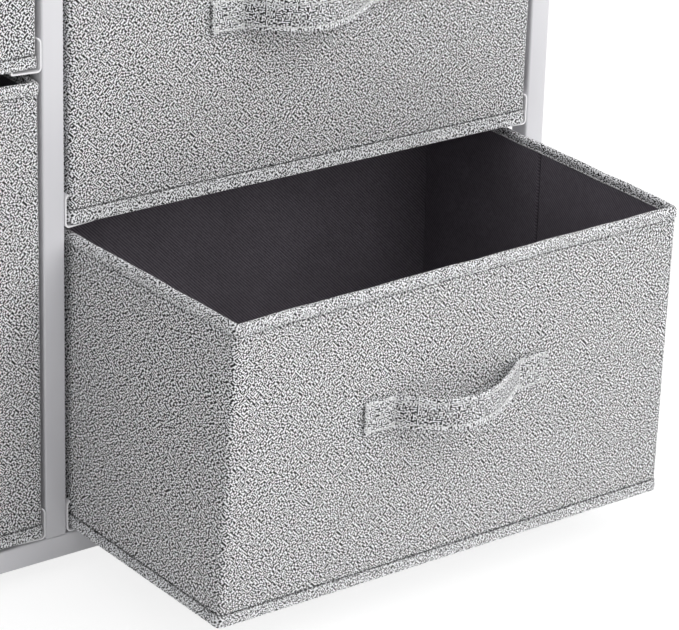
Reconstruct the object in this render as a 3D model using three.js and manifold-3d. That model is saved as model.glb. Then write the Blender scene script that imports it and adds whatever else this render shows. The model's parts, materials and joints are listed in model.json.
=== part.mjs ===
// Fabric drawer dresser: five soft drawers in two columns, carried by bent sheet runners
// between square steel posts, with a board on top.
// Millimetres. +X is to the right seen from the front, the front faces -Y, the feet stand on Z = 0.
import * as THREE from 'three';
import { mergeVertices } from 'three/addons/utils/BufferGeometryUtils.js';
import Module from 'manifold-3d';

const wasm = await Module();
wasm.setup();

// Overall size of the cabinet
const width = 808;
const depth = 300;
const height = 704;

// Square steel tube of the frame
const tube = 16;
const tubeWall = 1;
const tubeCornerRadius = 1.5;
const jointGap = 0.3;

// Top board
const boardThickness = 12;
const boardCornerRadius = 3;
const boardScrewDepth = 8;

// Screws that hold the board down from under the top rails
const screwRadius = 2;
const screwHeadRadius = 4;
const screwHeadHeight = 2.5;
const screwClearance = 0.3;
const railScrewShares = [-0.27, 0.27];
const sideScrewShare = 0.5;

// Levelling feet and the plugs that hold them in the post ends
const footHeight = 12;
const footRadius = 7;
const footDiscHeight = 6;
const footEdgeRadius = 5.5;
const footEdgeHeight = 1.5;
const footStemRadius = 3;
const footStemLength = 18;
const footStemClearance = 0.3;
const plugFlange = 2;
const plugLength = 14;
const plugClearance = 0.3;

// Drawer runners, bent from sheet
const runnerSheet = 1;
const runnerHeight = 23;
const runnerFlange = 22.5;
const runnerFlangeSlope = THREE.MathUtils.degToRad(3);
const runnerBendRadius = 2.5;
const runnerLipRadius = 4.5;
const runnerLipSweep = THREE.MathUtils.degToRad(60);
const runnerCurlRadius = 0.75;
const runnerLift = 1.2;
const runnerStopHeight = 14;
const runnerStopInset = 2;

// Drawers: fabric over board walls, with a bound rim and a sewn hem
const drawerSideClearance = 4;
const drawerTopClearance = 9.1;
const drawerSeatGap = 0.3;
const drawerStopGap = 1;
const drawerFrontRecess = 1;
const drawerRearClearance = 24;
const drawerWall = 3;
const drawerFloor = 2;
const drawerCornerRadius = 4;
const drawerInnerRadius = 2;
const bindingHeight = 8;
const bindingProud = 0.6;
const hemHeight = 7;
const hemProud = 0.4;

// Loose board on the floor of each drawer
const baseBoardThickness = 3;
const baseBoardClearance = 1;
const baseBoardCornerRadius = 2;

// Handle strap, sewn down at both ends and bowed out between
const strapWidth = 22.5;
const strapThickness = 1.6;
const strapPatch = 28;
const strapSpan = 102;
const strapBow = 27;
const strapDropShare = 0.43;
const strapGap = 0.3;

// How far the bottom right drawer stands open
const openDrawerPull = 172;

// Finer or coarser round stretches
const cornerSegments = 3;
const bendSteps = 4;
const roundSegments = 12;
const strapSteps = 16;
const cutOverrun = 1;

// Places that follow from the sizes above
const clearWidth = (width - 3 * tube) / 2;
const columnOffset = (tube + clearWidth) / 2;
const postOffsetX = (width - tube) / 2;
const postOffsetY = (depth - tube) / 2;
const frameTop = height - boardThickness - jointGap;
const clearBottom = footHeight + tube;
const clearTop = frameTop - tube;
const clearHeight = clearTop - clearBottom;
const runnerCurl = runnerCurlCentre();
const runnerTop = runnerCurl.y + runnerCurlRadius + runnerSheet / 2;
const drawerRise = runnerLift + runnerTop + drawerSeatGap;
const drawerWidth = clearWidth - 2 * drawerSideClearance;
const drawerDepth = depth - drawerFrontRecess - drawerRearClearance;
const closedFront = -depth / 2 + drawerFrontRecess;
const drawerRear = closedFront + drawerDepth;

const dresser = new THREE.Group();

function material(color, roughness, metalness) {
  return new THREE.MeshStandardMaterial({ color, roughness, metalness, flatShading: true });
}

const frameWhite = () => material('#e2e1e5', 0.45, 0.15);
const boardWhite = () => material('#eceae7', 0.6, 0);
const zincSteel = () => material('#b9bbbe', 0.35, 0.9);
const whitePlastic = () => material('#dedde0', 0.55, 0);
const greyFabric = () => material('#a6a7aa', 0.95, 0);
const paleStrap = () => material('#b0b1b3', 0.95, 0);
const darkLining = () => material('#38363b', 0.95, 0);

function addPiece(parent, name, geometry, pieceMaterial, position = [0, 0, 0], rotation = [0, 0, 0]) {
  const mesh = new THREE.Mesh(geometry, pieceMaterial);
  mesh.name = name;
  mesh.position.set(...position);
  mesh.rotation.set(...rotation);
  parent.add(mesh);
  return mesh;
}

// Joins and cuts between closed geometries
function toSolid(geometry) {
  const bare = geometry.clone();
  bare.deleteAttribute('normal');
  bare.deleteAttribute('uv');
  const merged = mergeVertices(bare);
  return new wasm.Manifold(new wasm.Mesh({
    numProp: 3,
    vertProperties: new Float32Array(merged.attributes.position.array),
    triVerts: new Uint32Array(merged.index.array),
  }));
}

function fromSolid(solid) {
  const mesh = solid.getMesh();
  const geometry = new THREE.BufferGeometry();
  geometry.setAttribute('position', new THREE.BufferAttribute(mesh.vertProperties, 3));
  geometry.setIndex(new THREE.BufferAttribute(mesh.triVerts, 1));
  geometry.computeVertexNormals();
  return geometry;
}

function joined(...geometries) {
  return fromSolid(geometries.map(toSolid).reduce((whole, piece) => whole.add(piece)));
}

function cut(geometry, ...cutters) {
  return fromSolid(cutters.map(toSolid).reduce((rest, cutter) => rest.subtract(cutter), toSolid(geometry)));
}

// Flat outlines
function roundedRectangle(sizeX, sizeY, radius, Outline = THREE.Shape) {
  const reachX = sizeX / 2 - radius;
  const reachY = sizeY / 2 - radius;
  const outline = new Outline();
  const corners = [[reachX, -reachY], [reachX, reachY], [-reachX, reachY], [-reachX, -reachY]];
  corners.forEach(([x, y], turn) => {
    const start = (turn - 1) * Math.PI / 2;
    outline.absarc(x, y, radius, start, start + Math.PI / 2, false);
  });
  outline.closePath();
  return outline;
}

function extruded(outline, length) {
  return new THREE.ExtrudeGeometry(outline, {
    depth: length, bevelEnabled: false, curveSegments: cornerSegments,
  });
}

function ring(outerX, outerY, outerRadius, innerX, innerY, innerRadius, length) {
  const outline = roundedRectangle(outerX, outerY, outerRadius);
  outline.holes.push(roundedRectangle(innerX, innerY, innerRadius, THREE.Path));
  return extruded(outline, length);
}

function roundBar(radius, length) {
  return new THREE.CylinderGeometry(radius, radius, length, roundSegments).rotateX(Math.PI / 2);
}

// Frame tubes, with round holes across them for the board screws
function tubeGeometry(length, holePlaces = []) {
  const bore = tube - 2 * tubeWall;
  const wallRing = ring(tube, tube, tubeCornerRadius, bore, bore, tubeCornerRadius - tubeWall, length);
  const drills = holePlaces.map((place) => roundBar(screwRadius + screwClearance, tube + 2 * cutOverrun)
    .rotateY(Math.PI / 2).translate(0, 0, place));
  return drills.length ? cut(wallRing, ...drills) : wallRing;
}

function addPosts() {
  const sides = { left: -1, middle: 0, right: 1 };
  const faces = { front: -1, rear: 1 };
  for (const [side, signX] of Object.entries(sides)) {
    for (const [face, signY] of Object.entries(faces)) {
      const stands = signX === 0;
      const bottom = stands ? clearBottom + jointGap : footHeight;
      const top = stands ? clearTop - jointGap : frameTop;
      addPiece(dresser, `${face}_${side}_post`, tubeGeometry(top - bottom), frameWhite(),
        [signX * postOffsetX, signY * postOffsetY, bottom]);
    }
  }
}

function addWidthRails() {
  const length = width - 2 * tube - 2 * jointGap;
  for (const [face, signY] of [['front', -1], ['rear', 1]]) {
    for (const [level, middle] of [['bottom', clearBottom - tube / 2], ['top', clearTop + tube / 2]]) {
      const holes = level === 'top' ? railScrewShares.map((share) => length / 2 + share * width) : [];
      addPiece(dresser, `${face}_${level}_rail`, tubeGeometry(length, holes), frameWhite(),
        [-length / 2, signY * postOffsetY, middle], [0, Math.PI / 2, 0]);
    }
  }
}

function addDepthRails() {
  const length = depth - 2 * tube - 2 * jointGap;
  const sides = [['left', -1], ['middle', 0], ['right', 1]];
  for (const [side, signX] of sides) {
    const inset = signX === 0 ? tube + jointGap : 0;
    const levels = [['bottom', clearBottom - tube / 2 + inset], ['top', clearTop + tube / 2 - inset]];
    for (const [level, middle] of levels) {
      const drilled = level === 'top' && signX !== 0;
      const holes = drilled ? [sideScrewShare * length] : [];
      const geometry = tubeGeometry(length, holes).rotateZ(Math.PI / 2);
      addPiece(dresser, `${side}_${level}_depth_rail`, geometry, frameWhite(),
        [signX * postOffsetX, length / 2, middle], [Math.PI / 2, 0, 0]);
    }
  }
}

// Where the board screws stand
function boardScrewPlaces() {
  const places = [];
  for (const [face, signY] of [['front', -1], ['rear', 1]]) {
    railScrewShares.forEach((share, index) => {
      places.push([`board_screw_${face}_${index + 1}`, share * width, signY * postOffsetY]);
    });
  }
  const sideY = (sideScrewShare - 1 / 2) * (depth - 2 * tube);
  places.push(['board_screw_left', -postOffsetX, sideY], ['board_screw_right', postOffsetX, sideY]);
  return places;
}

function screwGeometry() {
  const tip = tube + boardScrewDepth;
  const outline = [
    [0, -screwHeadHeight], [screwHeadRadius, -screwHeadHeight], [screwHeadRadius, 0],
    [screwRadius, 0], [screwRadius, tip - screwRadius], [0, tip],
  ];
  const points = outline.map(([radius, along]) => new THREE.Vector2(radius, along));
  return new THREE.LatheGeometry(points, roundSegments).rotateX(Math.PI / 2);
}

function addTopBoard() {
  const slab = extruded(roundedRectangle(width, depth, boardCornerRadius), boardThickness);
  const holeLength = 2 * (boardScrewDepth + screwClearance);
  const holes = boardScrewPlaces().map(([, x, y]) => (
    roundBar(screwRadius + screwClearance, holeLength).translate(x, y, 0)));
  addPiece(dresser, 'top_board', cut(slab, ...holes), boardWhite(), [0, 0, height - boardThickness]);
  for (const [name, x, y] of boardScrewPlaces()) {
    addPiece(dresser, name, screwGeometry(), zincSteel(), [x, y, clearTop - jointGap]);
  }
}

// Feet screw into square plugs in the lower ends of the corner posts
function footGeometry() {
  const outline = [
    [0, 0], [footEdgeRadius, 0], [footRadius, footEdgeHeight], [footRadius, footDiscHeight - footEdgeHeight],
    [footEdgeRadius, footDiscHeight], [footStemRadius, footDiscHeight],
    [footStemRadius, footDiscHeight + footStemLength], [0, footDiscHeight + footStemLength],
  ];
  const points = outline.map(([radius, along]) => new THREE.Vector2(radius, along));
  return new THREE.LatheGeometry(points, roundSegments).rotateX(Math.PI / 2);
}

function plugGeometry() {
  const bore = tube - 2 * tubeWall;
  const side = bore - 2 * plugClearance;
  const flange = extruded(roundedRectangle(tube, tube, tubeCornerRadius), plugFlange);
  const shank = extruded(roundedRectangle(side, side, tubeCornerRadius - tubeWall), plugFlange + plugLength);
  const stemHole = roundBar(footStemRadius + footStemClearance, 2 * (plugFlange + plugLength + cutOverrun));
  return cut(joined(flange, shank), stemHole);
}

function addFeet() {
  for (const [side, signX] of [['left', -1], ['right', 1]]) {
    for (const [face, signY] of [['front', -1], ['rear', 1]]) {
      const place = [signX * postOffsetX, signY * postOffsetY];
      addPiece(dresser, `${face}_${side}_foot`, footGeometry(), whitePlastic(), [...place, 0]);
      addPiece(dresser, `${face}_${side}_foot_plug`, plugGeometry(), whitePlastic(),
        [...place, footHeight - plugFlange - jointGap]);
    }
  }
}

// Runner section, measured inward from the post's face and up from the sheet's underside
function arcPoints(centreX, centreY, radius, start, sweep) {
  const points = [];
  for (let step = 0; step <= bendSteps; step += 1) {
    const angle = start + sweep * step / bendSteps;
    points.push(new THREE.Vector2(centreX + radius * Math.cos(angle), centreY + radius * Math.sin(angle)));
  }
  return points;
}

function runnerBendCentre() {
  const half = runnerSheet / 2;
  return new THREE.Vector2(jointGap + half + runnerBendRadius, half + runnerBendRadius);
}

// The flange climbs a little from the bend to the curl along its inner edge
function runnerCurlCentre() {
  const bend = runnerBendCentre();
  const radiusStep = runnerBendRadius - runnerCurlRadius;
  const x = runnerFlange - runnerSheet / 2 - runnerCurlRadius;
  const climb = Math.tan(runnerFlangeSlope);
  const y = bend.y + (x - bend.x) * climb - radiusStep / Math.cos(runnerFlangeSlope);
  return new THREE.Vector2(x, y);
}

function runnerCentreLine() {
  const half = runnerSheet / 2;
  const web = jointGap + half;
  const lipRise = runnerLipRadius * Math.sin(runnerLipSweep);
  const lipBase = runnerHeight - half - lipRise;
  const bend = runnerBendCentre();
  const bendSweep = Math.PI / 2 + runnerFlangeSlope;
  const curlStart = runnerFlangeSlope - Math.PI / 2;
  const curlSweep = Math.PI - runnerFlangeSlope;
  return [
    ...arcPoints(web + runnerLipRadius, lipBase, runnerLipRadius, Math.PI - runnerLipSweep, runnerLipSweep),
    ...arcPoints(bend.x, bend.y, runnerBendRadius, Math.PI, bendSweep),
    ...arcPoints(runnerCurl.x, runnerCurl.y, runnerCurlRadius, curlStart, curlSweep),
  ];
}

function thickened(line, thickness) {
  const offset = (side) => line.map((point, index) => {
    const before = line[Math.max(index - 1, 0)];
    const after = line[Math.min(index + 1, line.length - 1)];
    const along = after.clone().sub(before).normalize();
    return new THREE.Vector2(point.x - along.y * side, point.y + along.x * side);
  });
  return [...offset(thickness / 2), ...offset(-thickness / 2).reverse()];
}

function runnerGeometry(inward) {
  const section = thickened(runnerCentreLine(), runnerSheet)
    .map((point) => new THREE.Vector2(inward * point.x, point.y));
  const sheet = extruded(new THREE.Shape(section), depth);
  const stopWidth = runnerFlange - 2 * runnerStopInset - runnerBendRadius - 2 * runnerCurlRadius;
  const stopMiddle = runnerBendRadius + runnerStopInset + stopWidth / 2;
  const stopFoot = runnerSheet / 2 + (stopMiddle - runnerBendCentre().x) * Math.tan(runnerFlangeSlope);
  const stopRise = runnerStopHeight - stopFoot;
  const stopBehind = depth / 2 - drawerRear - drawerStopGap - runnerSheet / 2;
  const stop = new THREE.BoxGeometry(stopWidth, stopRise, runnerSheet)
    .translate(inward * stopMiddle, stopFoot + stopRise / 2, stopBehind);
  return joined(sheet, stop);
}

function addRunners(cell) {
  for (const [side, inward] of [['left', 1], ['right', -1]]) {
    const face = cell.centreX - inward * clearWidth / 2;
    addPiece(dresser, `${cell.name}_runner_${side}`, runnerGeometry(inward), frameWhite(),
      [face, depth / 2, cell.bottom + runnerLift], [Math.PI / 2, 0, 0]);
  }
}

// One drawer: shell, loose base board and handle
function shellGeometry(drawerHeight) {
  const innerX = drawerWidth - 2 * drawerWall;
  const innerY = drawerDepth - 2 * drawerWall;
  const block = extruded(roundedRectangle(drawerWidth, drawerDepth, drawerCornerRadius), drawerHeight);
  const hollow = extruded(roundedRectangle(innerX, innerY, drawerInnerRadius), drawerHeight)
    .translate(0, 0, drawerFloor);
  const binding = ring(drawerWidth + 2 * bindingProud, drawerDepth + 2 * bindingProud,
    drawerCornerRadius + bindingProud, innerX - 2 * bindingProud, innerY - 2 * bindingProud,
    drawerInnerRadius, bindingHeight).translate(0, 0, drawerHeight - bindingHeight);
  const hem = ring(drawerWidth + 2 * hemProud, drawerDepth + 2 * hemProud,
    drawerCornerRadius + hemProud, innerX, innerY, drawerInnerRadius, hemHeight);
  return joined(cut(block, hollow), binding, hem);
}

function baseBoardGeometry() {
  const inset = 2 * (drawerWall + baseBoardClearance);
  return extruded(roundedRectangle(drawerWidth - inset, drawerDepth - inset, baseBoardCornerRadius),
    baseBoardThickness);
}

function handleGeometry() {
  const half = strapSpan / 2;
  const line = [new THREE.Vector2(-half - strapPatch, 0)];
  for (let step = 0; step <= strapSteps; step += 1) {
    const share = step / strapSteps;
    line.push(new THREE.Vector2(-half + share * strapSpan, -strapBow * Math.sin(Math.PI * share)));
  }
  line.push(new THREE.Vector2(half + strapPatch, 0));
  return extruded(new THREE.Shape(thickened(line, strapThickness)), strapWidth)
    .translate(0, -strapThickness / 2, 0);
}

function addDrawer(cell) {
  const drawer = new THREE.Group();
  const drawerHeight = cell.height - drawerTopClearance;
  const middleY = closedFront + drawerDepth / 2 - cell.pull;
  drawer.position.set(cell.centreX, middleY, cell.bottom + drawerRise);
  dresser.add(drawer);
  addPiece(drawer, `${cell.name}_shell`, shellGeometry(drawerHeight), greyFabric());
  addPiece(drawer, `${cell.name}_base_board`, baseBoardGeometry(), darkLining(),
    [0, 0, drawerFloor + drawerSeatGap]);
  const strapMiddle = drawerHeight * (1 - strapDropShare);
  addPiece(drawer, `${cell.name}_handle`, handleGeometry(), paleStrap(),
    [0, -drawerDepth / 2 - strapGap, strapMiddle - strapWidth / 2]);
}

// Columns of equal drawers, listed from the bottom up
function addColumn(side, rows, openRow) {
  const cellHeight = clearHeight / rows.length;
  rows.forEach((row, index) => {
    const cell = {
      name: `${row}_${side}_drawer`,
      centreX: (side === 'left' ? -1 : 1) * columnOffset,
      bottom: clearBottom + index * cellHeight,
      height: cellHeight,
      pull: row === openRow ? openDrawerPull : 0,
    };
    addRunners(cell);
    addDrawer(cell);
  });
}

addPosts();
addWidthRails();
addDepthRails();
addTopBoard();
addFeet();
addColumn('left', ['lower', 'upper']);
addColumn('right', ['bottom', 'middle', 'top'], 'bottom');

// The origin lies under the middle of everything, with the open drawer and its handle counted in
const frontReach = closedFront - openDrawerPull - strapGap - strapThickness - strapBow;
dresser.position.y = -(frontReach + depth / 2) / 2;

export default dresser;
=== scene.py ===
# The looks of a fabric drawer dresser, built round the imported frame.
# Metres. +X is to the right seen from the front, the front faces -Y, the feet stand on Z = 0.
import json
import math

import bpy
import numpy as np
from mathutils import Matrix, Vector

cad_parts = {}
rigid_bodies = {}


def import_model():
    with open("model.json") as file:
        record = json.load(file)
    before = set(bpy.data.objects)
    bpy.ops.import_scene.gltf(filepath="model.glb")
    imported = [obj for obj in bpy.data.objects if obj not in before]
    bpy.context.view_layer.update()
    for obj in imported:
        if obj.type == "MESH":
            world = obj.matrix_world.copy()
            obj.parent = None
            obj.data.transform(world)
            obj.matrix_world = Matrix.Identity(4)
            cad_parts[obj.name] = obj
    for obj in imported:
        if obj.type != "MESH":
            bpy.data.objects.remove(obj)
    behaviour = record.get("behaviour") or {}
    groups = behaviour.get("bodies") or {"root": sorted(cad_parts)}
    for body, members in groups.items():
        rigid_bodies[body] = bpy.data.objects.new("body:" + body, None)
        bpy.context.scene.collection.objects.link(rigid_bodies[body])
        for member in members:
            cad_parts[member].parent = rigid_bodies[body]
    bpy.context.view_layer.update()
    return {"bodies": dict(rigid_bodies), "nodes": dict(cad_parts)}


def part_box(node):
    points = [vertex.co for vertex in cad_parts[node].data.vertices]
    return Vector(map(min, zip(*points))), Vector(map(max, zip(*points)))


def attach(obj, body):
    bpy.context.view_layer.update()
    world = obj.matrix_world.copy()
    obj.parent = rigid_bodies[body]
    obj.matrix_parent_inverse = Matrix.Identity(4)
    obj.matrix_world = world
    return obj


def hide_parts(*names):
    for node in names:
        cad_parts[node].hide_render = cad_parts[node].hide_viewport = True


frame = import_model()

# Camera, standing where the photograph was taken from
photo_width = 679
focal_pixels = 3283
sensor_width = 36
camera_place = (-1.0238, -1.7150, 1.0067)
camera_pitch = math.radians(22.69)
camera_yaw = math.radians(36.96)
camera_roll = math.radians(-1.67)

# Lamps
key_place = (1.5, -2.3, 2.1)
key_aim = (0.1, -0.1, 0.3)
key_size = 3.0
key_power = 62
sky_level = 0.69

# Floor. It lights the object by its albedo, and is seen as a glow with a faint shadow on it
floor_size = 16
floor_albedo = 0.8
floor_glow = 0.82
floor_shade = 0.3

# Meshes. Faces that meet at less than these angles are shaded as one
soft_angle = math.radians(40)
bent_angle = math.radians(50)
thread_angle = math.radians(60)
cloth_map = "cloth"

# Drawer walls: outer fabric, boards and lining in one thickness
wall_thickness = 0.003
floor_thickness = 0.002
wall_step = 0.010
corner_radius = 0.0035
corner_steps = 6
rim_steps = 6
rim_outside_reach = 0.004
rim_inside_reach = 0.006
foot_turn = 0.002
foot_rise = 0.0015
foot_turn_share = 0.3
foot_rise_share = 0.2
seam_depth = 0.0010
seam_reach = 0.0015

# The walls bow out between their edges, and ripple a little
wall_bow = 0.0011
side_bow_share = 0.6
wall_ripple = 0.00025
ripple_runs = (0.031, 0.017, 0.047)
ripple_climbs = (5, 9, 3)

# The pressed fold half way along each side wall
crease_share = 0.521
crease_outside_depth = 0.0003
crease_inside_depth = 0.0024
crease_spread = 0.0009
crease_reach = 0.004
crease_steps = 17
# Where the crease is this deep a share of its full depth, the lining is painted darker as shade
crease_painted_shade_share = 0.4

# Rim binding, a band folded over the rim
binding_height = 0.008
binding_inside_height = 0.0065
binding_proud = 0.0010
binding_sunk_share = 0.2
binding_seam_share = 0.7
binding_inside_seam_share = 0.6
binding_pucker = 0.00018
pucker_runs = (0.01116, 0.043)
corner_dip = 0.0009
corner_dip_reach = 0.014

# Hem band, sewn round the foot of the walls
hem_height = 0.007
hem_drop = 0.0016
hem_proud = 0.0009
hem_turn = 0.004
hem_under_shares = ((1.0, 0.3), (0.6, 0.8), (0.3, 1.0), (0.05, 0.8))
hem_outer_levels = (-0.00048, 0.0012, 0.004)
hem_inner_places = ((0.0002, hem_height), (0.0006, 0.002), (0.0015, 0.0004), (hem_turn, 0.0003))

# How low the hem may reach on the walls that cross the runners
hem_rest = 0.0002

# How far the hem's outer layer hangs in front of the runners' ends, and which of its points hang
hem_hangs = {"middle_right_drawer": 0.0011, "lower_left_drawer": 0.0006}
hem_hang_inset = 0.001
hem_hang_level = 0.0014

# How fast a change to one wall fades out round its corners, and what counts as facing forward
corner_fade = 4
forward_share = 0.99

# Stitches: their ends are thinner and sunk in the cloth
stitch_pitch = 0.0036
stitch_length = 0.0030
stitch_radius = 0.00045
strap_stitch_radius = 0.00055
strap_stitch_length = 0.0036
stitch_sides = 6
stitch_place_shares = np.array([-0.5, -0.3, 0.3, 0.5])
stitch_radius_shares = np.array([0.5, 1.0, 1.0, 0.5])
stitch_stand_shares = np.array([-1.0, 0.15, 0.15, -1.0])
stitch_inset = 0.0014
rim_stitch_inset = 0.0008
rim_stitch_share = 0.8

# Loose board on the drawer's floor
board_clearance = 0.004
board_round = 0.002
board_round_steps = 4
board_step = 0.03
board_bevel = 0.0008
board_warp = 0.0006
board_insets = (0.02, 0.05, 0.09, 0.13)

# Handle strap. Its skew puts the widest place of the loop left of the middle
strap_width = 0.0225
strap_thickness = 0.0016
strap_patch = 0.025
strap_span = 0.103
strap_shift = -0.004
strap_bow = 0.029
strap_skew = 0.8
strap_drop_share = 0.424
strap_clearance = 0.0015
strap_edge_band = 0.0036
strap_groove = 0.0005
strap_groove_reach = 0.0011
strap_puff = 0.00025
strap_loop_steps = 60
strap_patch_steps = 36
strap_section_steps = 32
strap_edge_steps = 5
strap_seam_steps = 24
strap_band_steps = 80

# How far a drawer's front corners lean in X and Y: left top, left bottom, right top, right bottom
leans = {
    "bottom_right_drawer": ((0.0050, -0.0081), (0.0002, -0.0010), (-0.0035, 0.0018), (-0.0070, 0.0008)),
    "middle_right_drawer": ((0.0, -0.0005), (0.0, -0.0020), (0.0017, -0.0015), (0.0017, -0.0020)),
    "upper_left_drawer": ((0.0015, -0.0005),) * 4,
    "lower_left_drawer": ((0.0020, -0.0015), (0.0015, -0.0025), (0.0020, -0.0015), (0.0016, -0.0025)),
}
upright = ((0.0, 0.0),) * 4

# Frame tubes and top board
tube_wall = 0.001
tube_corner_radius = 0.0015
tube_corner_steps = 6
tube_end_round = 0.0003
top_corner_radius = 0.003
top_corner_steps = 8
top_edge = 0.0009
top_edge_steps = 4

# Runners
runner_sheet = 0.001
runner_bend_radius = 0.0025
runner_lip_radius = 0.0045
runner_lip_sweep = math.radians(60)
runner_curl_radius = 0.00075
runner_climb = math.radians(3)
runner_bend_steps = 10
runner_stop_height = 0.014
runner_stop_inset = 0.002
runner_stop_behind = 0.0225
runner_stop_edge_share = 0.25
runner_stop_corner_steps = 3

# Feet
foot_radius = 0.007
foot_disc_height = 0.006
foot_edge = 0.0015
foot_edge_steps = 5
foot_stem_radius = 0.003
foot_sides = 40

# Woven fabric. A dark or light yarn shows in each cell, by turns along short floats
weave_pitch = 0.00071
weave_order = 1.6
weave_slant = math.radians(45)
trim_pitch = 0.00066
trim_order = 0.9
trim_bias = 0.12
strap_pitch = 0.00072
strap_order = 0.9
strap_edge_bias = 0.17
side_stretch = 1.35
float_cells = 2.0
weave_drift = 0.8
weave_drift_scale = 260.0
weave_groove_shade = 0.98
weave_flatness = 0.45
yarn_blend = 0.06
yarn_tones = (0.01, 1.0)
fabric_cloud = (0.97, 1.03)
fabric_tint = (1.0, 1.0, 1.02)

# Twill lining, and a darker copy of it as painted shade in the pressed crease
twill_pitch = 0.0024
twill_float = 0.0028
twill_fleck = 0.2
twill_cloud = (0.9, 1.08)
lining_colours = ((0.082, 0.071, 0.088), (0.235, 0.213, 0.243))
# A darker copy of the lining's colours, painted as the shade in the crease
crease_painted_shade_colours = ((0.012, 0.010, 0.013), (0.03, 0.027, 0.032))
cloth_relief = 0.0002

# Other finishes, from the darker colour to the lighter and from the glossier to the duller
seam_thread_colours = ((0.04,) * 3, (0.12,) * 3)
pale_thread_colours = ((0.60,) * 3, (0.85,) * 3)
frame_colours = ((0.72, 0.715, 0.745), (0.75, 0.745, 0.77))
# The runners' coat: the frame's white made lighter, as painted highlight on the sheet's edges
runner_painted_highlight_colours = ((0.90, 0.895, 0.91), (0.93, 0.925, 0.94))
coat_roughness = (0.36, 0.48)
coat_relief = 0.00004
laminate_colours = ((0.72, 0.71, 0.695), (0.80, 0.79, 0.775))
laminate_roughness = (0.5, 0.62)
laminate_grain = (3.0, 60.0, 60.0)
laminate_relief = 0.00006
plastic_colours = ((0.66, 0.66, 0.675), (0.70, 0.70, 0.71))
plastic_relief = 0.00004
zinc_colours = ((0.52, 0.53, 0.54), (0.66, 0.67, 0.68))
zinc_roughness = (0.28, 0.45)

# The values between which a noise mostly lies, and those between which nearly all of it does
most_noise = (0.3, 0.7)
all_noise = (0.2, 0.8)


class Shader:
    """Adds nodes to the tree of a material or of the world, and links them."""

    def __init__(self, owner):
        owner.use_nodes = True
        self.owner = owner
        self.tree = owner.node_tree

    def node(self, kind, inputs=None, **settings):
        node = self.tree.nodes.new(kind)
        for key, value in settings.items():
            setattr(node, key, value)
        for socket, value in (inputs or {}).items():
            self.feed(node.inputs[socket], value)
        return node

    def feed(self, socket, value):
        if isinstance(value, bpy.types.NodeSocket):
            self.tree.links.new(value, socket)
        else:
            socket.default_value = value

    def math(self, operation, *values):
        return self.node("ShaderNodeMath", dict(enumerate(values)), operation=operation).outputs[0]

    def scaled(self, colour, factor):
        sockets = {"Vector": colour, "Scale": factor}
        return self.node("ShaderNodeVectorMath", sockets, operation="SCALE").outputs[0]

    def mapped(self, value, from_low, from_high, to_low, to_high):
        sockets = {0: value, 1: from_low, 2: from_high, 3: to_low, 4: to_high}
        return self.node("ShaderNodeMapRange", sockets).outputs[0]

    def ramp(self, value, span, colours):
        """A colour between two, as the value crosses its span."""
        node = self.node("ShaderNodeValToRGB", {0: value})
        for element, position, colour in zip(node.color_ramp.elements, span, colours):
            element.position = position
            element.color = (*colour, 1.0)
        return node.outputs["Color"]

    def cloth_place(self):
        return self.node("ShaderNodeUVMap", uv_map=cloth_map).outputs[0]

    def object_place(self):
        return self.node("ShaderNodeTexCoord").outputs["Object"]

    def moved(self, place, **sockets):
        return self.node("ShaderNodeMapping", {"Vector": place, **sockets}).outputs[0]

    def split(self, place):
        return self.node("ShaderNodeSeparateXYZ", {0: place}).outputs

    def noise(self, place, scale, detail, roughness=0.5):
        sockets = {"Vector": place, "Scale": scale, "Detail": detail, "Roughness": roughness}
        return self.node("ShaderNodeTexNoise", sockets).outputs[0]

    def speck(self, x, y, layer):
        """A random number from 0 to 1 for each cell. Another layer has other numbers."""
        place = self.node("ShaderNodeCombineXYZ", {0: x, 1: y, 2: layer}).outputs[0]
        noise = self.node("ShaderNodeTexWhiteNoise", {"Vector": place}, noise_dimensions="3D")
        return noise.outputs["Value"]

    def toss(self, x, y, layer):
        """0 or 1 for each cell, as often one as the other."""
        return self.math("GREATER_THAN", self.speck(x, y, layer), 0.5)

    def seen(self):
        """1 for rays that come from the camera, a reflection or a refraction."""
        path = self.node("ShaderNodeLightPath").outputs
        direct = self.math("MAXIMUM", path["Is Camera Ray"], path["Is Glossy Ray"])
        return self.math("MAXIMUM", direct, path["Is Transmission Ray"])

    def bump(self, height, distance, strength=1.0):
        sockets = {"Height": height, "Distance": distance, "Strength": strength}
        self.finish(Normal=self.node("ShaderNodeBump", sockets).outputs[0])

    def finish(self, **values):
        """Feeds the surface's own sockets, and gives the material."""
        surface = self.tree.nodes["Principled BSDF"]
        for socket, value in values.items():
            self.feed(surface.inputs[socket.replace("_", " ")], value)
        return self.owner


def material_shader(name):
    return Shader(bpy.data.materials.new(name))


# Fabric woven from light and dark yarns
def weave_cells(shader, pitch, slant):
    """The cell, counted along both yarns, and how high its yarn stands. The yarns lie at a slant."""
    place = shader.moved(shader.cloth_place(), Rotation=(0.0, 0.0, slant))
    metres = shader.split(place)
    cells, humps = [], []
    for axis in (0, 1):
        apart = shader.moved(place, Location=(0.0, 0.0, axis))
        drift = shader.math("SUBTRACT", shader.noise(apart, weave_drift_scale, detail=1.0), 0.5)
        yarns = shader.math("DIVIDE", metres[axis], pitch)
        count = shader.math("ADD", yarns, shader.math("MULTIPLY", drift, weave_drift))
        across = shader.math("MULTIPLY", shader.math("FRACT", count), math.pi)
        cells.append(shader.math("FLOOR", count))
        humps.append(shader.math("SINE", across))
    height = shader.math("POWER", shader.math("MULTIPLY", *humps), weave_flatness)
    return place, cells, height


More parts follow.
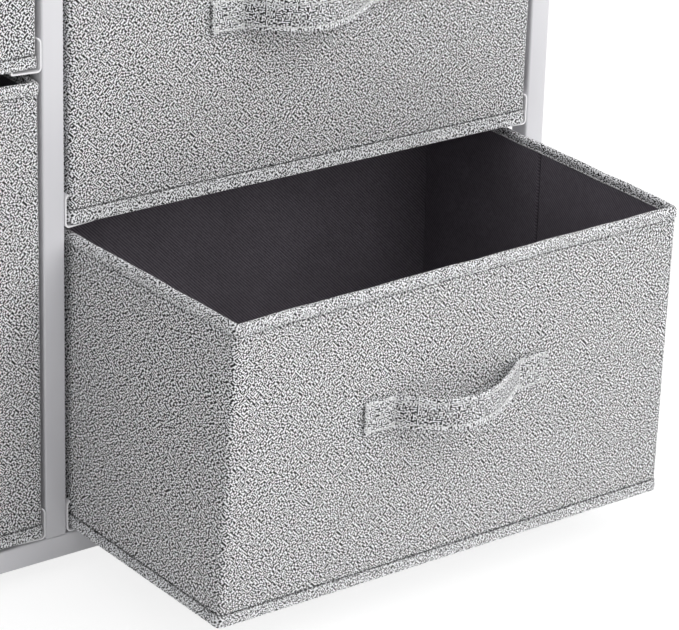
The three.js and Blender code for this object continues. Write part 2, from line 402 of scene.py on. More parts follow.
def yarn_on_top(shader, cells, order, bias):
    """Above 0 where a light yarn shows, below 0 where a dark one does.

    Cells go together in short floats, of which some lie across and some up. Yarns take turns
    within a float: the higher the order, the fewer cells break it.
    """
    row = shader.math("FLOOR", shader.math("DIVIDE", cells[1], float_cells))
    part = shader.math("MULTIPLY", shader.speck(row, 0.0, layer=7.0), float_cells)
    shifted = shader.math("ADD", cells[0], shader.math("FLOOR", part))
    column = shader.math("FLOOR", shader.math("DIVIDE", shifted, float_cells))
    counted = shader.mapped(shader.toss(column, row, layer=1.0), 0.0, 1.0, shifted, cells[1])
    turn = shader.math("ADD", counted, shader.toss(column, row, layer=2.0))
    stripe = shader.math("ABSOLUTE", shader.math("MODULO", turn, 2.0))
    regular = shader.math("MULTIPLY", shader.math("SUBTRACT", stripe, 0.5), order)
    stray = shader.math("SUBTRACT", shader.speck(*cells, layer=3.0), 0.5)
    return shader.math("ADD", shader.math("ADD", stray, regular), bias)


def heather_fabric(name, pitch, slant, order, bias):
    shader = material_shader(name)
    place, cells, height = weave_cells(shader, pitch, slant)
    light = yarn_on_top(shader, cells, order, bias)
    yarn = shader.mapped(light, -yarn_blend, yarn_blend, *yarn_tones)
    shade = shader.mapped(height, 0.0, 1.0, weave_groove_shade, 1.0)
    cloud = shader.mapped(shader.noise(place, scale=55.0, detail=3.0), *most_noise, *fabric_cloud)
    tone = shader.math("MULTIPLY", shader.math("MULTIPLY", yarn, shade), cloud)
    shader.bump(height, cloth_relief)
    return shader.finish(Base_Color=shader.scaled(fabric_tint, tone), Roughness=0.92,
                         Sheen_Weight=0.1, Sheen_Roughness=0.5, Specular_IOR_Level=0.2)


def twill_lining(name, colours):
    """Slanting ribs, with flecks along them."""
    shader = material_shader(name)
    place = shader.cloth_place()
    x, y, _ = shader.split(place)
    ribs = shader.math("DIVIDE", shader.math("ADD", x, y), twill_pitch)
    floats = shader.math("DIVIDE", shader.math("SUBTRACT", x, y), twill_float)
    wave = shader.math("SINE", shader.math("MULTIPLY", ribs, 2 * math.pi))
    rib = shader.mapped(wave, -1.0, 1.0, 0.0, 1.0 - twill_fleck)
    fleck = shader.speck(shader.math("FLOOR", ribs), shader.math("FLOOR", floats), layer=5.0)
    level = shader.math("ADD", rib, shader.math("MULTIPLY", fleck, twill_fleck))
    cloud = shader.mapped(shader.noise(place, scale=22.0, detail=2.0), *most_noise, *twill_cloud)
    colour = shader.scaled(shader.ramp(level, (0.0, 1.0), colours), cloud)
    shader.bump(level, cloth_relief)
    return shader.finish(Base_Color=colour, Roughness=0.85, Sheen_Weight=0.05, Specular_IOR_Level=0.2)


def sewing_thread(name, colours):
    shader = material_shader(name)
    twist = shader.noise(shader.object_place(), scale=900.0, detail=1.0)
    shader.bump(twist, cloth_relief)
    return shader.finish(Base_Color=shader.ramp(twist, most_noise, colours), Roughness=0.7,
                         Sheen_Weight=0.2)


# Hard finishes
def powder_coat(name, colours):
    shader = material_shader(name)
    place = shader.object_place()
    patch = shader.noise(place, scale=14.0, detail=3.0)
    peel = shader.noise(place, scale=900.0, detail=2.0)
    rough = shader.mapped(patch, *all_noise, *coat_roughness)
    shader.bump(peel, coat_relief, strength=0.6)
    return shader.finish(Base_Color=shader.ramp(patch, most_noise, colours), Roughness=rough,
                         Coat_Weight=0.1)


def board_laminate():
    shader = material_shader("white_laminate")
    stretched = shader.moved(shader.object_place(), Scale=laminate_grain)
    grain = shader.noise(stretched, scale=8.0, detail=5.0, roughness=0.6)
    pores = shader.noise(stretched, scale=70.0, detail=2.0, roughness=0.6)
    rough = shader.mapped(pores, *all_noise, *laminate_roughness)
    shader.bump(pores, laminate_relief, strength=0.5)
    return shader.finish(Base_Color=shader.ramp(grain, most_noise, laminate_colours), Roughness=rough)


def moulded_plastic():
    shader = material_shader("white_moulded_plastic")
    grain = shader.noise(shader.object_place(), scale=1500.0, detail=2.0)
    shader.bump(grain, plastic_relief)
    return shader.finish(Base_Color=shader.ramp(grain, most_noise, plastic_colours), Roughness=0.5)


def zinc_plate():
    shader = material_shader("zinc_plate")
    cloud = shader.noise(shader.object_place(), scale=400.0, detail=3.0)
    rough = shader.mapped(cloud, *all_noise, *zinc_roughness)
    return shader.finish(Base_Color=shader.ramp(cloud, most_noise, zinc_colours), Roughness=rough,
                         Metallic=1.0)


# Meshes from grids of points
def grid_mesh(name, grid, around, across, materials, face_slots=None, cap_axes=None,
              smooth_angle=soft_angle):
    """A closed mesh from rows of points. Columns run round the piece, rows along it.

    The cloth has run as far as around says at a column, and as far as across says at a row.
    With cap_axes, the axes of the cloth on them, the first and the last row are capped.
    Otherwise the last row joins the first.
    """
    rows, columns = grid.shape[:2]
    face_slots = np.zeros((rows, columns), int) if face_slots is None else face_slots
    points = grid.reshape(-1, 3)
    faces, slots, corners = [], [], []
    for row in range(rows - 1 if cap_axes else rows):
        upper = (row + 1) % rows
        for column in range(columns):
            beside = (column + 1) % columns
            faces.append((row * columns + column, row * columns + beside,
                          upper * columns + beside, upper * columns + column))
            corners += [(around[column], across[row]), (around[column + 1], across[row]),
                        (around[column + 1], across[row + 1]), (around[column], across[row + 1])]
            slots.append(face_slots[row, column])
    for row, direction in ((0, -1), (rows - 1, 1)) if cap_axes else ():
        loop = [row * columns + column for column in range(columns)][::direction]
        faces.append(loop)
        corners += [tuple(points[index][list(cap_axes)]) for index in loop]
        slots.append(face_slots[row, 0])
    mesh = bpy.data.meshes.new(name)
    mesh.from_pydata(points.tolist(), [], faces)
    cloth = mesh.uv_layers.new(name=cloth_map)
    cloth.data.foreach_set("uv", np.array(corners, np.float32).ravel())
    mesh.polygons.foreach_set("material_index", slots)
    return new_piece(name, mesh, materials, smooth_angle)


def new_piece(name, mesh, materials, smooth_angle):
    for material in materials:
        mesh.materials.append(material)
    mesh.shade_smooth()
    mesh.set_sharp_from_angle(angle=smooth_angle)
    mesh.validate()
    piece = bpy.data.objects.new(name, mesh)
    bpy.context.scene.collection.objects.link(piece)
    return piece


def even_places(reach, step):
    return np.linspace(-reach, reach, max(2, round(2 * reach / step)) + 1)


def run_along(points):
    """How far each point lies along the line."""
    lengths = np.linalg.norm(np.diff(points, axis=0), axis=1)
    return np.concatenate([[0.0], np.cumsum(lengths)])


def closed_run(points):
    """The same, and on from the last point to the first."""
    return run_along(np.vstack([points, points[:1]]))


def between(places, run, values):
    """Values at places along a line, from those at its points."""
    return np.column_stack([np.interp(places, run, column) for column in values.T])


def level_ring(flat, height):
    return np.column_stack([flat, np.full(len(flat), height)])


def stacked(flat, normals, profile):
    """A level ring for each inset and height of a profile."""
    return np.array([level_ring(flat - normals * inset, height) for inset, height in profile])


def quarter_turn(start, steps):
    return np.linspace(start, start + math.pi / 2, steps + 1)


def slab_profile(bottom, top, radius, steps):
    """Inset and height over the round edges of a slab, from its underside to its top."""
    profile = []
    for centre, start in ((bottom + radius, -math.pi / 2), (top - radius, 0.0)):
        profile += [(radius * (1 - math.cos(angle)), centre + radius * math.sin(angle))
                    for angle in quarter_turn(start, steps)]
    return profile


def rounded_outline(half_x, half_y, radius, steps, places_x=None, places_y=None):
    """Points and outward normals of a rounded rectangle, anticlockwise from the right side."""
    reach_x = half_x - radius
    reach_y = half_y - radius
    places_x = np.array([-reach_x, reach_x]) if places_x is None else places_x
    places_y = np.array([-reach_y, reach_y]) if places_y is None else places_y
    sides = [(half_x, reach_y, places_y), (half_y, reach_x, places_x),
             (half_x, reach_y, -places_y[::-1]), (half_y, reach_x, -places_x[::-1])]
    points, normals = [], []
    for turn, (out, reach, places) in enumerate(sides):
        start = turn * math.pi / 2
        normal = np.array([math.cos(start), math.sin(start)])
        tangent = np.array([-math.sin(start), math.cos(start)])
        for place in places:
            points.append(normal * out + tangent * place)
            normals.append(normal)
        centre = normal * (out - radius) + tangent * reach
        for angle in quarter_turn(start, steps)[1:-1]:
            corner_normal = np.array([math.cos(angle), math.sin(angle)])
            points.append(centre + radius * corner_normal)
            normals.append(corner_normal)
    return np.array(points), np.array(normals)


class Drawer:
    """One drawer's shape, in its own frame: X across, Y back, Z up from its floor."""

    def __init__(self, name, seed):
        low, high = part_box(f"{name}_shell")
        self.name = name
        self.width = high.x - low.x - 2 * binding_proud
        self.depth = high.y - low.y - 2 * binding_proud
        self.height = high.z - low.z
        self.centre = np.array([(low.x + high.x) / 2, (low.y + high.y) / 2, low.z])
        self.leans = np.array(leans.get(name, upright))
        self.hang = hem_hangs.get(name, 0.0)
        self.crease = (crease_share - 1 / 2) * self.depth
        self.phases = np.random.default_rng(seed).uniform(0, 2 * math.pi, (len(ripple_runs), 2))
        across = even_places(self.width / 2 - corner_radius, wall_step)
        self.outline, self.normals = rounded_outline(
            self.width / 2, self.depth / 2, corner_radius, corner_steps, across, self.side_places())
        self.run = closed_run(self.outline)
        self.weave = self.count_weave()

    def side_places(self):
        """Places along a side wall, closer together at its crease."""
        fan = np.linspace(-1, 1, crease_steps)
        near = self.crease + crease_reach * fan * np.abs(fan)
        evenly = even_places(self.depth / 2 - corner_radius, wall_step)
        evenly = evenly[np.abs(evenly - self.crease) > crease_reach]
        return np.sort(np.concatenate([evenly, near]))

    def count_weave(self):
        """How far the cloth has run at each column. The side walls' cloth is drawn out along them."""
        sideways = np.abs(self.normals[:, 0])
        on_side = np.minimum(sideways, np.roll(sideways, -1))
        steps = np.diff(self.run) / (1 + (side_stretch - 1) * on_side)
        return np.concatenate([[0.0], np.cumsum(steps)])

    def swell(self, height):
        """How far the wall bows out at a height, for each column.

        Each ripple turns one radian in its run along the wall, and its climb from floor to rim.
        """
        x, y = self.outline.T
        face_x, face_y = np.abs(self.normals.T)
        level = np.clip(height / self.height, 0, 1)
        rise = np.sin(math.pi * level) ** 2
        ends = face_y * (1 - (2 * x / self.width) ** 2)
        sides = face_x * (1 - (2 * y / self.depth) ** 2) * side_bow_share
        ripple = sum(np.sin(self.run[:-1] / run + first) * math.sin(level * climb + second)
                     for (first, second), run, climb in zip(self.phases, ripple_runs, ripple_climbs))
        return rise * (wall_bow * (ends + sides) + wall_ripple * ripple)

    def crease_depth(self, depth):
        away = (self.outline[:, 1] - self.crease) / crease_spread
        return np.abs(self.normals[:, 0]) * depth * np.exp(-away ** 2)

    def ring(self, inset, height, crease=0.0, lift=0.0):
        """Points round the wall. Crease is how far they stand out at the pressed fold."""
        out = self.swell(height) - inset + self.crease_depth(crease)
        return level_ring(self.outline + self.normals * out[:, None], height + lift)

    def corner_drop(self):
        """The rim sinks a little at the four corners."""
        from_corner = np.hypot(np.abs(self.outline[:, 0]) - self.width / 2,
                               np.abs(self.outline[:, 1]) - self.depth / 2)
        return -corner_dip * np.exp(-from_corner / corner_dip_reach)

    def set_down(self, points):
        """From the drawer's frame to the whole object's, with the lean of soft walls."""
        across = np.clip(points[..., 0:1] / self.width + 1 / 2, 0, 1)
        forward = np.clip(1 / 2 - points[..., 1:2] / self.depth, 0, None)
        up = np.clip(points[..., 2:3] / self.height, 0, 1)
        left_top, left_bottom, right_top, right_bottom = self.leans
        left = left_top * up + left_bottom * (1 - up)
        right = right_top * up + right_bottom * (1 - up)
        moved = points + self.centre
        moved[..., :2] += forward * (left * (1 - across) + right * across)
        return moved


# Drawer walls, binding and hem. A profile holds pairs of inset from the wall's face and height
def wall_profile(drawer):
    """Up the outside, over the rim, and down the inside."""
    top = drawer.height - binding_proud
    middle = wall_thickness / 2
    low = hem_height + seam_reach
    high = drawer.height - binding_height - seam_reach
    levels = round(drawer.height / wall_step)
    outside = [(foot_turn, 0.0), (foot_turn * foot_turn_share, foot_rise * foot_rise_share),
               (0.0, foot_rise), (seam_depth, hem_height), (seam_depth, low - seam_reach / 2)]
    outside += [(0.0, height) for height in np.linspace(low, high, levels)]
    outside += [(seam_depth, high + seam_reach / 2), (seam_depth, high + seam_reach),
                (0.0, top - rim_outside_reach)]
    rim = [(middle - middle * math.cos(angle), top - middle + middle * math.sin(angle))
           for angle in np.linspace(0, math.pi, rim_steps + 1)]
    inside = [(wall_thickness, height)
              for height in np.linspace(top - rim_inside_reach, floor_thickness, levels)]
    return outside, rim, inside


def add_drawer_walls(drawer, fabric, lining, crease_shade_material):
    """Outer fabric up to the rim, then the lining down to the floor, with painted shade in its crease.
    """
    outside, rim, inside = wall_profile(drawer)
    profile = outside + rim + inside
    creases = np.repeat([-crease_outside_depth, 0.0, crease_inside_depth],
                        [len(outside), len(rim), len(inside)])
    drop = drawer.corner_drop()
    under_rim = outside[-1][1]
    rings = [drawer.ring(inset, height, crease, drop if height > under_rim else 0.0)
             for (inset, height), crease in zip(profile, creases)]
    lined = np.arange(len(profile)) >= len(outside) + rim_steps // 2
    # Painted shade: the columns at the crease get the darker lining
    crease_shade_mask = drawer.crease_depth(1.0) > crease_painted_shade_share
    crease_shade_mask &= np.roll(crease_shade_mask, -1)
    # 0 for the fabric, 1 for the lining, 2 for the lining's painted shade in the crease
    slots = lined[:, None] * (1 + crease_shade_mask[None, :])
    piece = grid_mesh(f"{drawer.name}_fabric_box", drawer.set_down(np.array(rings)), drawer.weave,
                      run_along(np.array(profile)), [fabric, lining, crease_shade_material], slots, cap_axes=(0, 1))
    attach(piece, drawer.name)
    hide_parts(f"{drawer.name}_shell")


def binding_profile(top):
    """Up the outside of the wall, over its rim, down the inside, and back within the wall."""
    middle = wall_thickness / 2
    reach = middle + binding_proud
    low = top - binding_height
    low_inside = top - binding_inside_height
    edge = binding_proud / 2
    inner = wall_thickness + binding_proud
    inner_seam = wall_thickness + binding_proud * binding_inside_seam_share
    sunk = wall_thickness * binding_sunk_share
    outside = [(0.0, low), (-edge, low), (-binding_proud, low + edge), (-binding_proud, low + 3 * edge),
               (-binding_proud * binding_seam_share, low + stitch_inset),
               (-binding_proud, low + 2 * stitch_inset)]
    bend = [(middle - reach * math.cos(angle), top - reach + reach * math.sin(angle))
            for angle in np.linspace(0, math.pi, 2 * rim_steps + 1)]
    inside = [(inner, low_inside + 2 * stitch_inset), (inner_seam, low_inside + stitch_inset),
              (inner, low_inside + 2 * edge), (inner, low_inside + edge), (inner - edge, low_inside),
              (wall_thickness, low_inside)]
    within = [(wall_thickness - sunk, low_inside + edge), (wall_thickness - sunk, top - 2 * middle),
              (sunk, top - 2 * middle), (sunk, low + edge)]
    return outside + bend + inside + within


def add_binding(drawer, fabric):
    """The rim's folded band, a little puckered by its stitches."""
    profile = binding_profile(drawer.height)
    pucker = sum(np.sin(drawer.run[:-1] * 2 * math.pi / run + phase)
                 for run, phase in zip(pucker_runs, drawer.phases[:, 0]))
    lift = drawer.corner_drop() + binding_pucker * pucker
    rings = [drawer.ring(inset, height, lift=lift) for inset, height in profile]
    piece = grid_mesh(f"{drawer.name}_rim_binding", drawer.set_down(np.array(rings)), drawer.weave,
                      closed_run(np.array(profile)), [fabric])
    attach(piece, drawer.name)


def add_hem(drawer, fabric):
    """Its outline goes out under the floor, up the outer face and down again within the wall."""
    profile = [(hem_turn * inward, -hem_drop * down) for inward, down in hem_under_shares]
    profile += [(-hem_proud, level) for level in hem_outer_levels]
    profile += [(-hem_proud / 2, hem_height - stitch_inset), (-hem_proud, hem_height - hem_proud),
                (-hem_proud / 2, hem_height), *hem_inner_places]
    in_front = np.clip(-drawer.normals[:, 1], 0, 1) ** corner_fade
    crossing = np.abs(drawer.normals[:, 1]) ** corner_fade
    rings = []
    for inset, height in profile:
        hangs = drawer.hang > 0 and inset < hem_hang_inset and height < hem_hang_level
        drop = drawer.hang * in_front if hangs else 0.0
        resting = crossing - in_front if hangs else crossing
        rise = max(0.0, -hem_rest - height) * resting
        rings.append(drawer.ring(inset, height, lift=rise - drop))
    piece = grid_mesh(f"{drawer.name}_hem_band", drawer.set_down(np.array(rings)), drawer.weave,
                      closed_run(np.array(profile)), [fabric])
    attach(piece, drawer.name)


# Stitches: short bent lengths of thread, sunk at both ends
def stitch_row(line, normals, thread_radius=stitch_radius, length=stitch_length):
    """Rings of points for each stitch along a line."""
    run = run_along(line)
    count = int(run[-1] / stitch_pitch)
    radii = thread_radius * stitch_radius_shares
    stands = thread_radius * stitch_stand_shares
    turns = np.arange(stitch_sides) * 2 * math.pi / stitch_sides
    rings = []
    for index in range(count):
        middle = (index + 1 / 2) * run[-1] / count
        centres = between(middle + stitch_place_shares * length, run, line)
        out = between([middle], run, normals)[0]
        out /= np.linalg.norm(out)
        along = centres[-1] - centres[0]
        along /= np.linalg.norm(along)
        spokes = np.outer(np.cos(turns), np.cross(along, out)) + np.outer(np.sin(turns), out)
        rings += [centre + out * stand + radius * spokes
                  for centre, radius, stand in zip(centres, radii, stands)]
    return np.array(rings).reshape(count, len(radii), stitch_sides, 3)


def stitch_piece(name, rows, material):
    stitches = np.concatenate(rows)
    count, rings, sides = stitches.shape[:3]
    faces = []
    for index in range(count):
        base = index * rings * sides
        for ring in range(rings - 1):
            low = base + ring * sides
            high = low + sides
            for side in range(sides):
                beside = (side + 1) % sides
                faces.append((low + side, high + side, high + beside, low + beside))
        faces.append([base + side for side in range(sides)])
        faces.append([base + (rings - 1) * sides + side for side in range(sides)][::-1])
    mesh = bpy.data.meshes.new(name)
    mesh.from_pydata(stitches.reshape(-1, 3).tolist(), [], faces)
    return new_piece(name, mesh, [material], thread_angle)


def wall_stitches(drawer, inset, height, inward=False, lift=0.0):
    ring = drawer.ring(inset, height, lift=lift)
    line = drawer.set_down(np.vstack([ring, ring[:1]]))
    normals = level_ring(-drawer.normals if inward else drawer.normals, 0.0)
    return stitch_row(line, np.vstack([normals, normals[:1]]))


def add_wall_stitching(drawer, thread, rim_thread):
    """Stitches along the hem and under the binding, and others inside the rim."""
    drop = drawer.corner_drop()
    hem_level = hem_height + seam_reach / 3
    binding_level = drawer.height - binding_height - seam_reach / 3
    rim_level = drawer.height - binding_inside_height + rim_stitch_inset
    rim_inset = wall_thickness + binding_proud * rim_stitch_share
    outside = [wall_stitches(drawer, seam_depth, hem_level),
               wall_stitches(drawer, seam_depth, binding_level, lift=drop)]
    inside = [wall_stitches(drawer, rim_inset, rim_level, inward=True, lift=drop)]
    for name, rows, material in (("wall", outside, thread), ("rim", inside, rim_thread)):
        piece = stitch_piece(f"{drawer.name}_{name}_stitching", rows, material)
        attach(piece, drawer.name)


def add_base_panel(drawer, lining):
    """The loose lined board on the drawer's floor, a little warped."""
    low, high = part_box(f"{drawer.name}_base_board")
    half_x = drawer.width / 2 - board_clearance
    half_y = drawer.depth / 2 - board_clearance
    bottom = low.z - drawer.centre[2]
    top = high.z - drawer.centre[2]
    points, normals = rounded_outline(
        half_x, half_y, board_round, board_round_steps,
        even_places(half_x - board_round, board_step), even_places(half_y - board_round, board_step))
    profile = [(board_bevel, bottom), (0.0, bottom + board_bevel), (0.0, top - board_bevel),
               (board_bevel, top)]
    rings = list(stacked(points, normals, profile))
    for inset in board_insets:
        share = 1 - inset / min(half_x, half_y)
        rings.append(level_ring(points * share, top - board_warp * (1 - share ** 2)))
    across = run_along(np.array(profile + [(inset, top) for inset in board_insets]))
    piece = grid_mesh(f"{drawer.name}_floor_panel", drawer.set_down(np.array(rings)),
                      closed_run(points), across, [lining], cap_axes=(0, 1))
    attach(piece, drawer.name)
    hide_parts(f"{drawer.name}_base_board")


# Handle strap, a loop between two sewn patches
def strap_line():
    """The strap's middle line: X, and how far it stands off the front."""
    half = strap_span / 2
    patch = np.linspace(-half - strap_patch, -half, strap_patch_steps + 1)[:-1]
    loop = np.linspace(-half, half, strap_loop_steps + 1)
    x = np.concatenate([patch, loop, -patch[::-1]])
    share = np.clip((x + half) / strap_span, 0, 1)
    return x, strap_bow * np.sin(math.pi * share ** strap_skew)


def strap_relief(x, up):
    """How far the outer face stands over its plain thickness, with grooves along the stitches."""
    half_up = strap_width / 2
    x, up = np.broadcast_arrays(x, up)
    edge = half_up - np.abs(up)
    from_band = np.abs(edge - strap_edge_band)
    reach_x = strap_patch / 2 - stitch_inset
    reach_up = half_up - stitch_inset
    u = (np.abs(x) - strap_span / 2 - strap_patch / 2) / reach_x
    v = up / reach_up
    slant = reach_x * reach_up / math.hypot(reach_x, reach_up)
    from_box = np.minimum.reduce([np.abs(1 - np.abs(u)) * reach_x, np.abs(1 - np.abs(v)) * reach_up,
                                  np.abs(u - v) * slant, np.abs(u + v) * slant])
    nearest = np.where(np.abs(x) > strap_span / 2, from_box, from_band)
    puff = strap_puff * np.sin(np.clip(edge / strap_edge_band, 0, 1) * math.pi)
    return puff - strap_groove * np.exp(-(nearest / strap_groove_reach) ** 2)


def strap_section(x):
    """Points round the strap's section at one place: outward from its middle, and up."""
    half = strap_width / 2
    thick = strap_thickness / 2
    heights = np.linspace(-half + thick, half - thick, strap_section_steps + 1)
    turns = np.linspace(0, math.pi, strap_edge_steps + 1)[1:-1]
    upper_edge = np.column_stack([thick * np.cos(turns), half - thick + thick * np.sin(turns)])
    outer = np.column_stack([thick + strap_relief(x, heights), heights])
    inner = np.column_stack([np.full(len(heights), -thick), heights[::-1]])
    return np.vstack([outer, upper_edge, inner, -upper_edge])[::-1]


class Strap:
    """Where one drawer's strap lies: its middle line, and which way its outer face looks."""

    def __init__(self, drawer):
        self.drawer = drawer
        self.x, stand = strap_line()
        level = drawer.height * (1 - strap_drop_share)
        y = -drawer.depth / 2 - (strap_clearance + strap_thickness / 2 + stand)
        self.centres = level_ring(np.column_stack([self.x, y]), level)
        slopes = np.gradient(self.centres[:, :2], axis=0)
        slopes /= np.linalg.norm(slopes, axis=1)[:, None]
        self.outward = np.column_stack([slopes[:, 1], -slopes[:, 0]])
        front = drawer.normals[:, 1] < -forward_share
        self.centres[:, 0] += strap_shift
        self.centres[:, 1] -= np.interp(self.centres[:, 0], drawer.outline[front, 0],
                                        drawer.swell(level)[front])

    def grid(self):
        rings = []
        for x, centre, out in zip(self.x, self.centres, self.outward):
            section = strap_section(x)
            rings.append(centre + np.column_stack([np.outer(section[:, 0], out), section[:, 1]]))
        return self.drawer.set_down(np.array(rings))

    def stitched(self, start, end, steps=strap_seam_steps):
        """Stitches over the outer face, from one (X, up) to another."""
        x, up = np.linspace(start, end, steps).T
        out = between(x, self.x, self.outward)
        face = strap_thickness / 2 + strap_relief(x, up)
        line = between(x, self.x, self.centres) + np.column_stack([out * face[:, None], up])
        return stitch_row(self.drawer.set_down(line), level_ring(out, 0.0), strap_stitch_radius,
                          strap_stitch_length)


def add_handle(drawer, fabric, edge_fabric, thread):
    strap = Strap(drawer)
    grid = strap.grid()
    section = strap_section(0.0)
    in_band = np.abs(section[:, 1]) > strap_width / 2 - strap_edge_band
    piece = grid_mesh(f"{drawer.name}_strap", grid, closed_run(section), run_along(strap.centres),
                      [fabric, edge_fabric], np.tile(in_band.astype(int), (len(grid), 1)),
                      cap_axes=(0, 2), smooth_angle=bent_angle)
    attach(piece, drawer.name)
    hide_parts(f"{drawer.name}_handle")
    add_strap_stitching(strap, thread)


def add_strap_stitching(strap, thread):
    """A row along each edge of the loop, and a crossed box on each patch."""
    half = strap_span / 2
    band_up = strap_width / 2 - strap_edge_band
    box_up = strap_width / 2 - stitch_inset
    rows = [strap.stitched((-half, side * band_up), (half, side * band_up), strap_band_steps)
            for side in (-1, 1)]
    for side in (-1, 1):
        inner = side * (half + stitch_inset)
        outer = side * (half + strap_patch - stitch_inset)
        corners = [(inner, -box_up), (outer, -box_up), (outer, box_up), (inner, box_up)]
        lines = list(zip(corners, corners[1:] + corners[:1]))
        lines += [(corners[0], corners[2]), (corners[1], corners[3])]
        rows += [strap.stitched(start, end) for start, end in lines]
    piece = stitch_piece(f"{strap.drawer.name}_strap_stitching", rows, thread)
    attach(piece, strap.drawer.name)


# Frame tubes, runners, board and feet, on the same places and sizes as the solids
def add_tube(node, coat):
    low, high = (np.array(corner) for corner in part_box(node))
    axis = int(np.argmax(high - low))
    across = [(axis + 1) % 3, (axis + 2) % 3]
    middle = (low + high)[across] / 2
    outer, normals = rounded_outline(*(high - low)[across] / 2, tube_corner_radius, tube_corner_steps)
    near, far = low[axis], high[axis]
    lip = tube_wall - tube_end_round
    profile = [(0.0, near + tube_end_round), (0.0, far - tube_end_round), (tube_end_round, far),
               (lip, far), (tube_wall, far - tube_end_round), (tube_wall, near + tube_end_round),
               (lip, near), (tube_end_round, near)]
    grid = np.roll(stacked(middle + outer, normals, profile), axis + 1, axis=2)
    piece = grid_mesh(f"{node}_tube", grid, closed_run(outer), closed_run(np.array(profile)), [coat],
                      smooth_angle=bent_angle)
    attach(piece, "root")
    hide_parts(node)


def arc(centre_x, centre_y, radius, start, sweep):
    angles = start + sweep * np.linspace(0, 1, runner_bend_steps + 1)
    return np.column_stack([centre_x + radius * np.cos(angles), centre_y + radius * np.sin(angles)])


def runner_section(flange, height):
    """The bent sheet's outline: inward from the post's side, and up."""
    half = runner_sheet / 2
    lip_rise = runner_lip_radius * math.sin(runner_lip_sweep)
    bend = half + runner_bend_radius
    curl_x = flange - half - runner_curl_radius
    radius_step = runner_bend_radius - runner_curl_radius
    curl_z = bend + (curl_x - bend) * math.tan(runner_climb) - radius_step / math.cos(runner_climb)
    line = np.vstack([
        arc(half + runner_lip_radius, height - half - lip_rise, runner_lip_radius,
            math.pi - runner_lip_sweep, runner_lip_sweep),
        arc(bend, bend, runner_bend_radius, math.pi, math.pi / 2 + runner_climb),
        arc(curl_x, curl_z, runner_curl_radius, runner_climb - math.pi / 2, math.pi - runner_climb),
    ])
    along = np.gradient(line, axis=0)
    along /= np.linalg.norm(along, axis=1)[:, None]
    side = np.column_stack([-along[:, 1], along[:, 0]]) * half
    return np.vstack([line + side, (line - side)[::-1]])


def add_runner(node, inward, coat):
    """The bent sheet under one side of a drawer. Inward is 1 on its left side, -1 on its right."""
    low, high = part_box(node)
    section = runner_section(high.x - low.x, high.z - low.z)
    start = low.x if inward > 0 else high.x
    flat = np.column_stack([start + inward * section[:, 0], low.z + section[:, 1]])[::inward]
    ends = np.array([low.y, high.y])
    grid = np.array([np.insert(flat, 1, end, axis=1) for end in ends])
    piece = grid_mesh(f"{node}_sheet", grid, closed_run(flat), ends, [coat], cap_axes=(0, 2),
                      smooth_angle=bent_angle)
    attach(piece, "root")
    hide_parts(node)
    add_runner_stop(node, start, inward, coat)


def add_runner_stop(node, start, inward, coat):
    """The small upright plate that stands on the sheet behind the drawer."""
    low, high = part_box(node)
    width = high.x - low.x - 2 * (runner_stop_inset + runner_curl_radius) - runner_bend_radius
    across = runner_bend_radius + runner_stop_inset + width / 2
    climb = (across - runner_sheet / 2 - runner_bend_radius) * math.tan(runner_climb)
    foot = low.z + runner_sheet / 2 + climb
    top = low.z + runner_stop_height
    edge = runner_sheet * runner_stop_edge_share
    outline, normals = rounded_outline(width / 2, runner_sheet / 2, edge, runner_stop_corner_steps)
    middle = np.array([start + inward * across, high.y - runner_stop_behind])
    profile = [(0.0, foot), (0.0, top - edge), (edge, top)]
    grid = stacked(middle + outline, normals, profile)
    piece = grid_mesh(f"{node}_stop", grid, closed_run(outline), run_along(grid[:, 0]), [coat],
                      cap_axes=(0, 1))
    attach(piece, "root")


def add_board(laminate):
    low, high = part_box("top_board")
    outline, normals = rounded_outline((high.x - low.x) / 2, (high.y - low.y) / 2,
                                       top_corner_radius, top_corner_steps)
    middle = np.array([(low.x + high.x) / 2, (low.y + high.y) / 2])
    profile = slab_profile(low.z, high.z, top_edge, top_edge_steps)
    grid = stacked(middle + outline, normals, profile)
    piece = grid_mesh("top_board_laminate", grid, closed_run(outline), run_along(np.array(profile)),
                      [laminate], cap_axes=(0, 1))
    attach(piece, "root")
    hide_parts("top_board")


def add_foot(node, plastic):
    """A round disc with soft edges, on the end of its stem."""
    low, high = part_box(node)
    middle = np.array([(low.x + high.x) / 2, (low.y + high.y) / 2])
    disc_top = low.z + foot_disc_height
    stem_inset = foot_radius - foot_stem_radius
    profile = slab_profile(low.z, disc_top, foot_edge, foot_edge_steps)
    profile += [(stem_inset, disc_top), (stem_inset, high.z)]
    turns = np.arange(foot_sides) * 2 * math.pi / foot_sides
    circle = np.column_stack([np.cos(turns), np.sin(turns)])
    grid = stacked(middle + circle * foot_radius, circle, profile)
    piece = grid_mesh(f"{node}_pad", grid, closed_run(circle * foot_radius),
                      run_along(np.array(profile)), [plastic], cap_axes=(0, 1))
    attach(piece, "root")
    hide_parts(node)


def dress_node(node, material):
    """A material for a piece that is shown by its solid."""
    mesh = frame["nodes"][node].data
    mesh.materials.clear()
    mesh.materials.append(material)


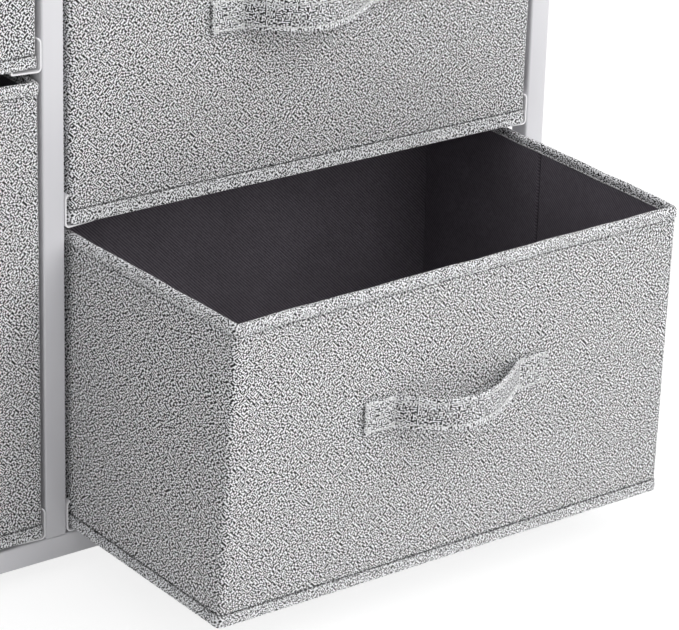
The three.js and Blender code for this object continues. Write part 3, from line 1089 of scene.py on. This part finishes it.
# Floor, lamps and camera
def add_floor():
    shader = material_shader("pale_floor")
    albedo = {"Color": (floor_albedo,) * 3 + (1.0,)}
    shade = {"Color": (floor_shade,) * 3 + (1.0,)}
    lighting = shader.node("ShaderNodeBsdfDiffuse", albedo).outputs[0]
    shadowed = shader.node("ShaderNodeBsdfDiffuse", shade).outputs[0]
    glow = shader.node("ShaderNodeEmission", {"Strength": floor_glow}).outputs[0]
    shown = shader.node("ShaderNodeAddShader", {0: shadowed, 1: glow}).outputs[0]
    mixed = shader.node("ShaderNodeMixShader", {0: shader.seen(), 1: lighting, 2: shown}).outputs[0]
    shader.feed(shader.tree.nodes["Material Output"].inputs["Surface"], mixed)
    shader.tree.nodes.remove(shader.tree.nodes["Principled BSDF"])
    half = floor_size / 2
    corners = [(-half, -half, 0.0), (half, -half, 0.0), (half, half, 0.0), (-half, half, 0.0)]
    mesh = bpy.data.meshes.new("floor")
    mesh.from_pydata(corners, [], [range(len(corners))])
    mesh.materials.append(shader.owner)
    floor = bpy.data.objects.new("floor", mesh)
    bpy.context.scene.collection.objects.link(floor)


def set_world():
    """An even pale sky, which is white where it is seen."""
    bpy.context.scene.world = bpy.data.worlds.new("studio")
    shader = Shader(bpy.context.scene.world)
    sky = shader.tree.nodes["Background"].inputs
    shader.feed(sky["Color"], (1.0, 1.0, 1.0, 1.0))
    shader.feed(sky["Strength"], shader.mapped(shader.seen(), 0.0, 1.0, sky_level, 1.0))


def add_key():
    lamp = bpy.data.lights.new("key", "AREA")
    lamp.shape = "SQUARE"
    lamp.size = key_size
    lamp.energy = key_power
    key = bpy.data.objects.new("key", lamp)
    key.location = key_place
    aim = Vector(key_aim) - Vector(key_place)
    key.rotation_euler = aim.to_track_quat("-Z", "Y").to_euler()
    bpy.context.scene.collection.objects.link(key)


def add_camera():
    """It looks along +Y, turned right by its yaw, down by its pitch and about its view by its roll."""
    data = bpy.data.cameras.new("camera")
    data.sensor_fit = "HORIZONTAL"
    data.sensor_width = sensor_width
    data.lens = focal_pixels / photo_width * sensor_width
    camera = bpy.data.objects.new("camera", data)
    level = Matrix.Rotation(-camera_yaw, 4, "Z") @ Matrix.Rotation(math.pi / 2 - camera_pitch, 4, "X")
    turn = level @ Matrix.Rotation(-camera_roll, 4, "Z")
    camera.matrix_world = Matrix.Translation(camera_place) @ turn
    bpy.context.scene.collection.objects.link(camera)
    bpy.context.scene.camera = camera


def build_frame():
    coat = powder_coat("white_powder_coat", frame_colours)
    plastic = moulded_plastic()
    zinc = zinc_plate()
    for node in frame["nodes"]:
        if node.endswith(("_post", "_rail")):
            add_tube(node, coat)
        elif node.endswith("_foot"):
            add_foot(node, plastic)
        elif node.endswith("_foot_plug"):
            dress_node(node, plastic)
        elif node.startswith("board_screw"):
            dress_node(node, zinc)
    add_board(board_laminate())


def build_drawers():
    # A lighter copy of the frame's coat, as painted highlight on the runners
    runner_highlight_coat = powder_coat("bright_powder_coat", runner_painted_highlight_colours)
    fabric = heather_fabric("heather_fabric", weave_pitch, weave_slant, weave_order, 0.0)
    trim = heather_fabric("heather_trim", trim_pitch, weave_slant, trim_order, trim_bias)
    webbing = heather_fabric("heather_webbing", strap_pitch, 0.0, strap_order, 0.0)
    webbing_edge = heather_fabric("heather_webbing_edge", strap_pitch, 0.0, strap_order,
                                  strap_edge_bias)
    lining = twill_lining("dark_twill", lining_colours)
    # A darker twill, painted as the shade in the lining's crease
    crease_shade_material = twill_lining("pressed_twill", crease_painted_shade_colours)
    thread = sewing_thread("dark_thread", seam_thread_colours)
    pale_thread = sewing_thread("pale_thread", pale_thread_colours)
    names = sorted(name for name in frame["bodies"] if name != "root")
    for seed, name in enumerate(names):
        drawer = Drawer(name, seed)
        add_drawer_walls(drawer, fabric, lining, crease_shade_material)
        add_binding(drawer, trim)
        add_hem(drawer, trim)
        add_wall_stitching(drawer, thread, pale_thread)
        add_base_panel(drawer, lining)
        add_handle(drawer, webbing, webbing_edge, pale_thread)
        for side, inward in (("left", 1), ("right", -1)):
            add_runner(f"{name}_runner_{side}", inward, runner_highlight_coat)


add_camera()
add_floor()
set_world()
add_key()
bpy.context.scene.view_settings.view_transform = "Standard"
build_frame()
build_drawers()
